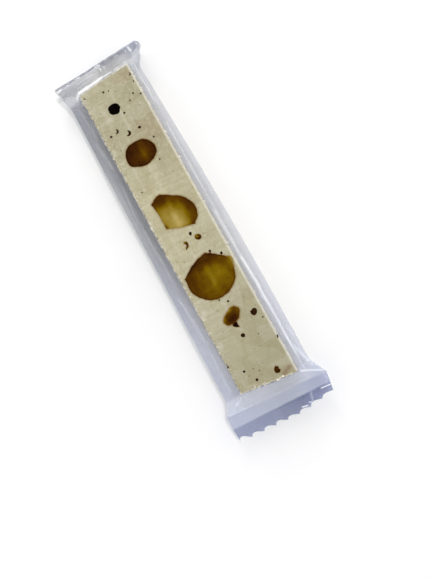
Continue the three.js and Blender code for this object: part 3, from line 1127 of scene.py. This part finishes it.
def plug(outline, depth, rise=0.0, grow=0.0):
    """A body under an outline at the bar's top: a flat face, then walls that round in to a bowl.

    It stands above the top by rise, and its outline is wider all round by grow.
    """
    middle = outline.mean(axis=0)
    reach = np.linalg.norm(outline - middle, axis=1).mean()
    spoke = (outline - middle) * (1 + grow / reach)
    face_z = NOUGAT_TOP + rise
    rings = [(k / FACE_RINGS, face_z) for k in range(1, FACE_RINGS + 1)]
    for a in np.linspace(0 if rise else WALL_START, pi / 2, BOWL_RINGS, endpoint=False):
        rings.append((cos(a), NOUGAT_TOP - depth * sin(a)))
    count = len(outline)
    points = [(*middle, face_z)]
    for scale, z in rings:
        points += [(*(middle + spoke[i] * scale), z) for i in range(count)]
    points.append((*middle, NOUGAT_TOP - depth))
    last = len(points) - 1
    faces = []
    for i in range(count):
        j = (i + 1) % count
        faces.append([0, 1 + i, 1 + j])
        for r in range(len(rings) - 1):
            a, b = 1 + r * count, 1 + (r + 1) * count
            faces.append([a + i, b + i, b + j, a + j])
        a = last - count
        faces.append([a + i, last, a + j])
    return np.array(points), faces


def make_nut(nut, material):
    outline = closed_curve(nut.outline, nut.kinks)
    points, faces = plug(outline, nut.depth)
    points[:, 2] -= NUT_RECESS
    piece = new_object(nut.name, points, faces, material)
    x, y = points[:, 0], points[:, 1]
    tone = nut.base + nut.rim * (1 - smoothstep(distance_to(outline, points), 0, RIM_WIDTH))
    for glow_x, glow_y, along, across, added in nut.glows:
        tone += added * bump(x, glow_x, along) * bump(y, glow_y, across)
    set_attributes(piece, tone=tone)
    piece.data.set_sharp_from_angle(angle=SHARP_ANGLE)
    hold(piece, nut.slot)


def distance_to(outline, points):
    """Distance from each point to the outline's corners, seen from above."""
    gaps = points[:, None, :2] - outline[None, :, :]
    return np.sqrt((gaps ** 2).sum(axis=2)).min(axis=1)


# --- Materials ---

WHITE = (1, 1, 1, 1)


def screen_colour(red, green, blue):
    """Linear colour from 0 to 255 screen values."""
    shares = [value / 255 for value in (red, green, blue)]
    return (*[s / 12.92 if s <= 0.04045 else ((s + 0.055) / 1.055) ** 2.4 for s in shares], 1)


class Look:
    """The node tree of a new material or world, with short calls to add and link nodes."""

    def __init__(self, owner):
        owner.use_nodes = True
        self.owner = owner
        self.tree = owner.node_tree

    def node(self, kind, inputs=None, **settings):
        made = self.tree.nodes.new("ShaderNode" + kind)
        for key, value in settings.items():
            setattr(made, key, value)
        for key, value in (inputs or {}).items():
            self.feed(made.inputs[key], value)
        return made

    def feed(self, socket, value):
        """Links a socket to another node's output, or sets its value."""
        if isinstance(value, bpy.types.NodeSocket):
            self.tree.links.new(value, socket)
        else:
            socket.default_value = value

    def place(self, lengths, turn=0.0):
        """Object coordinates, turned about Z, in lengths given in millimetres for each axis."""
        where = self.node("TexCoord").outputs["Object"]
        sizes = [MM * length for length in lengths]
        inputs = {"Vector": where, "Rotation": (0, 0, -turn), "Scale": sizes}
        return self.node("Mapping", inputs, vector_type="TEXTURE").outputs["Vector"]

    def noise(self, lengths, detail=3.0, roughness=0.5, turn=0.0):
        """Noise from 0 to 1 with features of the given lengths in millimetres."""
        inputs = {"Vector": self.place(lengths, turn), "Scale": 1, "Detail": detail, "Roughness": roughness}
        return self.node("TexNoise", inputs).outputs["Fac"]

    def spots(self, lengths, none, full, share=1.0, **settings):
        """A share that is 0 where such noise is under one value, and whole where it is over the other."""
        return self.fit(self.noise(lengths, **settings), none, full, 0, share)

    def cells(self, lengths, turn=0.0):
        """A net of cells of such lengths: the distance to their seeds, and a draw for each cell."""
        net = self.node("TexVoronoi", {"Vector": self.place(lengths, turn), "Scale": 1})
        draw = self.node("SeparateColor", {0: net.outputs["Color"]})
        return net.outputs["Distance"], draw.outputs[0]

    def part(self, vector, axis):
        return self.node("SeparateXYZ", {"Vector": vector}).outputs[axis]

    def fade(self, axis, none, full, share=1.0):
        """A share that grows from 0 at one place on an axis to its whole at another, in millimetres."""
        metres = self.part(self.node("TexCoord").outputs["Object"], axis)
        return self.fit(metres, none * MM, full * MM, 0, share)

    def fit(self, value, low, high, to_low, to_high):
        inputs = {"Value": value, "From Min": low, "From Max": high, "To Min": to_low, "To Max": to_high}
        return self.node("MapRange", inputs).outputs["Result"]

    def math(self, operation, first, second):
        return self.node("Math", {0: first, 1: second}, operation=operation).outputs["Value"]

    def mix(self, share, first, second):
        """A blend of two colours, each a node's output, a linear colour or three screen values."""
        made = self.node("Mix", data_type="RGBA")
        for key, value in (("Factor", share), ("A", first), ("B", second)):
            if isinstance(value, tuple) and len(value) == 3:
                value = screen_colour(*value)
            self.feed(next(s for s in made.inputs if s.name == key and s.enabled), value)
        return next(s for s in made.outputs if s.enabled)

    def cover(self, base, colour, *shares):
        """The base with another colour over it, as far as the product of the shares says."""
        share = shares[0]
        for other in shares[1:]:
            share = self.math("MULTIPLY", share, other)
        return self.mix(share, base, colour)

    def attribute(self, name):
        return self.node("Attribute", attribute_name=name).outputs["Fac"]

    def ramp(self, value, stops):
        """A colour read off the stops, each a place from 0 to 1 and three screen values."""
        made = self.node("ValToRGB", {"Fac": value})
        elements = made.color_ramp.elements
        while len(elements) < len(stops):
            elements.new(0.5)
        for element, (place, colour) in zip(elements, stops):
            element.position = place
            element.color = screen_colour(*colour)
        return made.outputs["Color"]

    def bump(self, height, depth):
        """A bump of the given depth in millimetres, for the shader's normal."""
        inputs = {"Height": height, "Distance": depth * MM, "Strength": 1.0}
        return self.node("Bump", inputs).outputs["Normal"]

    def finish(self, colour, roughness, specular=0.5, normal=None):
        """The material, with these on its shader."""
        shader = self.tree.nodes["Principled BSDF"]
        self.feed(shader.inputs["Base Color"], colour)
        self.feed(shader.inputs["Roughness"], roughness)
        self.feed(shader.inputs["Specular IOR Level"], specular)
        if normal is not None:
            self.feed(shader.inputs["Normal"], normal)
        return self.owner


def new_look(name):
    return Look(bpy.data.materials.new(name))


def film_material():
    """Clear film: a grey tint holding painted shade, a little milkiness holding painted highlights, and a
    gloss that grows with the slant.

    The gloss is alike on both faces, since the film is too thin to trap light.
    """
    look = new_look("clear_film")
    lilac = look.attribute("lilac")
    dark = look.mix(lilac, (0.59, 0.60, 0.625, 1), (0.52, 0.55, 0.69, 1))
    # The tint is the film's own grey, with the zones' painted shade in it
    tint = look.mix(look.attribute("tint_and_shade"), WHITE, dark)
    haze_and_highlight = look.attribute("haze_and_highlight")
    milk_and_highlight_colour = look.mix(lilac, (0.84, 0.84, 0.83, 1), (0.76, 0.80, 0.92, 1))
    # Milk turns pure white where the film is whitest: a painted highlight
    milk_and_highlight_colour = look.mix(look.fit(haze_and_highlight, 0.5, 0.9, 0, 1), milk_and_highlight_colour, WHITE)
    clear = look.node("BsdfTransparent", {"Color": tint}).outputs["BSDF"]
    milk = look.node("BsdfDiffuse", {"Color": milk_and_highlight_colour}).outputs["BSDF"]
    gloss = look.node("BsdfGlossy", {"Color": WHITE, "Roughness": FILM_ROUGHNESS})
    hazy_and_highlit = look.node("MixShader", {0: haze_and_highlight, 1: clear, 2: milk}).outputs["Shader"]
    facing = look.node("LayerWeight", {"Blend": 0.5}).outputs["Facing"]
    shine = look.fit(look.math("POWER", facing, SLANT_POWER), 0, 1, FILM_SHINE, 1)
    film = look.node("MixShader", {0: shine, 1: hazy_and_highlit, 2: gloss.outputs["BSDF"]})
    nodes = look.tree.nodes
    look.feed(nodes["Material Output"].inputs["Surface"], film.outputs["Shader"])
    nodes.remove(nodes["Principled BSDF"])
    return look.owner


def nougat_material():
    """Cream nougat, mottled and in faint patches, with marks of the knife on top."""
    look = new_look("nougat")
    normal = look.node("NewGeometry").outputs["Normal"]
    on_top = look.fit(look.part(normal, "Z"), 0.5, 0.9, 0, 1)
    near_top = look.fade("Z", NOUGAT_TOP - 1.3, NOUGAT_TOP - 0.5)
    calm = look.math("SUBTRACT", 1, look.fade("X", 20, 44, 0.65))
    patch = look.fit(look.cells((9, 6, 6), KNIFE_TURN)[1], 0.5, 1, 0, 0.3)
    distance, draw = look.cells((1.4, 1.2, 1.2))
    mottle = look.spots((1.6, 1.2, 1.2), 0.48, 0.66, 0.40, detail=5, roughness=0.65)
    fleck = look.spots((0.45, 0.4, 0.4), 0.56, 0.66, detail=2)
    layers = [
        # Each end and the right side a little darker, with toasted and pale patches
        ((178, 171, 142), look.fade("X", -14, -32, 0.75)),
        ((175, 167, 132), look.fade("X", 14, 54, 0.85)),
        ((120, 108, 62), look.fade("Y", 0, 3.5, 0.12)),
        ((178, 163, 133), look.attribute("toasted")),
        ((216, 211, 186), patch),
        # Pale and dull mottling, calmer by the tail
        ((220, 215, 192), mottle, calm),
        ((172, 162, 128), look.spots((0.9, 0.7, 0.7), 0.52, 0.70, 0.4, detail=4), calm),
        # Broad and fine strokes of the knife
        ((174, 164, 130), look.spots((1.5, 18, 4), 0.47, 0.72, 0.42, turn=KNIFE_TURN), on_top),
        ((174, 164, 130), look.spots((0.5, 9, 3), 0.50, 0.72, 0.30, turn=KNIFE_TURN), on_top),
        # Painted shade of tiny pits, pale streaks and the reddish scuff
        ((140, 122, 84), look.fit(distance, 0.12, 0.24, 0.6, 0), look.fit(draw, 0.7, 0.75, 0, 1)),
        ((226, 221, 202), look.attribute("pale")),
        ((150, 122, 96), look.attribute("scuff"), 0.8),
        # The sides, painted lighter against their shade and warmer against the film's tint, and flecks and
        # crumbs on the top by the left edge, and crumbs with a painted highlight by the right edge
        ((246, 231, 190), look.fit(on_top, 0, 1, 0.7, 0)),
        ((236, 232, 214), near_top, look.fade("Y", -6.5, -9.6, 0.8), fleck),
        # Painted highlight where the right top edge catches the light, with its crumbs
        ((238, 234, 218), near_top, look.fade("Y", 9.2, 9.8, 0.8)),
        # Oil round the nuts
        ((150, 117, 56), look.attribute("stain"), 0.9),
    ]
    base = look.mix(look.spots((11, 6, 6), 0.35, 0.65), (209, 202, 169), (198, 189, 153))
    for colour, *shares in layers:
        base = look.cover(base, colour, *shares)
    normal = look.bump(look.noise((0.7, 0.6, 0.6), detail=4), 0.12)
    return look.finish(base, roughness=0.7, specular=0.12, normal=normal)


def crumb_material():
    """Broken nougat, whiter than the cut face."""
    look = new_look("crumb")
    base = look.mix(look.spots((0.6, 0.6, 0.6), 0.35, 0.65), (242, 237, 221), (225, 219, 197))
    normal = look.bump(look.noise((0.2, 0.2, 0.2)), 0.03)
    return look.finish(base, roughness=0.8, specular=0.12, normal=normal)


def wall_material(name, length, stops, roughness, specular):
    """The wall of an opened bubble, brown and darkened with painted shade, lighter in spots of the given
    length.
    """
    look = new_look(name)
    tone = look.ramp(look.noise((length, length, length)), stops)
    return look.finish(tone, roughness, specular)


def nut_material():
    """The sliced face of a nut: brown by its skin, golden to tan inside, with strokes of the knife."""
    look = new_look("nut")
    tone = look.attribute("tone")
    strokes = ((14, 0.8, 2), 0, 0.015)
    grain = ((0.6, 4, 2), KNIFE_TURN, 0.018)
    blotches = ((3.0, 2.2, 2), 0, 0.05)
    for lengths, turn, reach in (strokes, grain, blotches):
        detail = look.fit(look.noise(lengths, turn=turn), 0.3, 0.7, -reach, reach)
        tone = look.math("ADD", tone, detail)
    colour = look.ramp(tone, [
        (0.0, (30, 10, 2)),
        (0.2, (64, 31, 3)),
        (0.4, (96, 61, 0)),
        (0.6, (135, 106, 4)),
        (0.8, (162, 137, 56)),
        (1.0, (192, 168, 96)),
    ])
    normal = look.bump(look.noise((3, 0.4, 1)), 0.02)
    return look.finish(colour, roughness=0.5, specular=0.02, normal=normal)


def floor_material():
    look = new_look("floor")
    colour = look.mix(look.spots((60, 60, 60), 0.3, 0.7), (0.9, 0.9, 0.9, 1), (0.88, 0.88, 0.89, 1))
    return look.finish(colour, roughness=0.9)


# --- Stage ---

# Where the camera stands, what it looks at, and which way is up in its picture
EYE = Vector((56.19, 11.84, 261.6))
TARGET = Vector((23.9, -0.37, 12.35))
VIEW_UP = Vector((-0.86937, 0.48613, 0.08875))
LENS = 47.04
CLIP_START = 0.01
SUN_TILT = 14 * DEGREE
SUN_WIDTH = 9 * DEGREE
SUN_STRENGTH = 1.38
# The light past the head: place and width in metres, and watts
RIM_PLACE = Vector((-0.7, 0.1, 0.4))
RIM_SIZE = 0.2
RIM_POWER = 1.5
# The surroundings' brightness round the horizon and overhead, and where the one gives way to the other
RING_STRENGTH = 0.87
OVERHEAD_STRENGTH = 0.03
RING_TOP = (0.80, 0.90)
FLOOR_WIDTH = 3000.0


def make_camera():
    data = bpy.data.cameras.new("camera")
    data.lens = LENS
    data.clip_start = CLIP_START
    camera = add_object("camera", data)
    back = (EYE - TARGET).normalized()
    right = VIEW_UP.cross(back).normalized()
    up = back.cross(right)
    camera.matrix_world = Matrix.Translation(EYE * MM) @ Matrix((right, up, back)).transposed().to_4x4()
    bpy.context.scene.camera = camera


def make_sun():
    """A soft key light from high above, a little from the right."""
    data = bpy.data.lights.new("key", "SUN")
    data.angle = SUN_WIDTH
    data.energy = SUN_STRENGTH
    sun = add_object("key", data)
    sun.rotation_euler = (-SUN_TILT, 0, 0)
    sun.visible_glossy = False


def make_rim():
    """A square soft light past the head, which puts the glints on its folds."""
    data = bpy.data.lights.new("rim", "AREA")
    data.size = RIM_SIZE
    data.energy = RIM_POWER
    rim = add_object("rim", data)
    rim.location = RIM_PLACE
    rim.rotation_euler = (-RIM_PLACE).to_track_quat("-Z", "Y").to_euler()


def make_world():
    """Soft surroundings, brightest round the horizon and dim overhead."""
    look = Look(bpy.data.worlds.new("surroundings"))
    where = look.node("TexCoord").outputs["Generated"]
    strength = look.fit(look.part(where, "Z"), *RING_TOP, RING_STRENGTH, OVERHEAD_STRENGTH)
    background = look.tree.nodes["Background"]
    look.feed(background.inputs["Color"], WHITE)
    look.feed(background.inputs["Strength"], strength)
    bpy.context.scene.world = look.owner


def make_floor():
    half = FLOOR_WIDTH / 2
    corners = [(-half, -half, 0), (half, -half, 0), (half, half, 0), (-half, half, 0)]
    new_object("floor", corners, [[0, 1, 2, 3]], floor_material())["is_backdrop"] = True


make_camera()
make_floor()
make_sun()
make_rim()
make_world()
bpy.context.scene.view_settings.view_transform = "Standard"

film = film_material()
make_film(film)
make_seam(film)
# Bubble walls: brown, darker still with painted shade of their hollows
brown_and_shaded_wall = wall_material("bubble_wall", 0.8, [(0.3, (36, 15, 5)), (0.7, (84, 50, 20))], 0.7, 0.05)
# The deep hole's wall: near black, painted shade of its depth
shaded_hole_wall = wall_material("deep_hole", 0.6, [(0.4, (14, 10, 4)), (0.8, (40, 28, 12))], 0.9, 0.02)
make_nougat(nougat_material(), brown_and_shaded_wall, shaded_hole_wall)
make_crumbs(crumb_material())
nut_face = nut_material()
for nut in NUTS:
    make_nut(nut, nut_face)

visual_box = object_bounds()
boxes = {"cad": cad_box, "visual": visual_box}
{name: [list(corner) for corner in box] for name, box in boxes.items()}
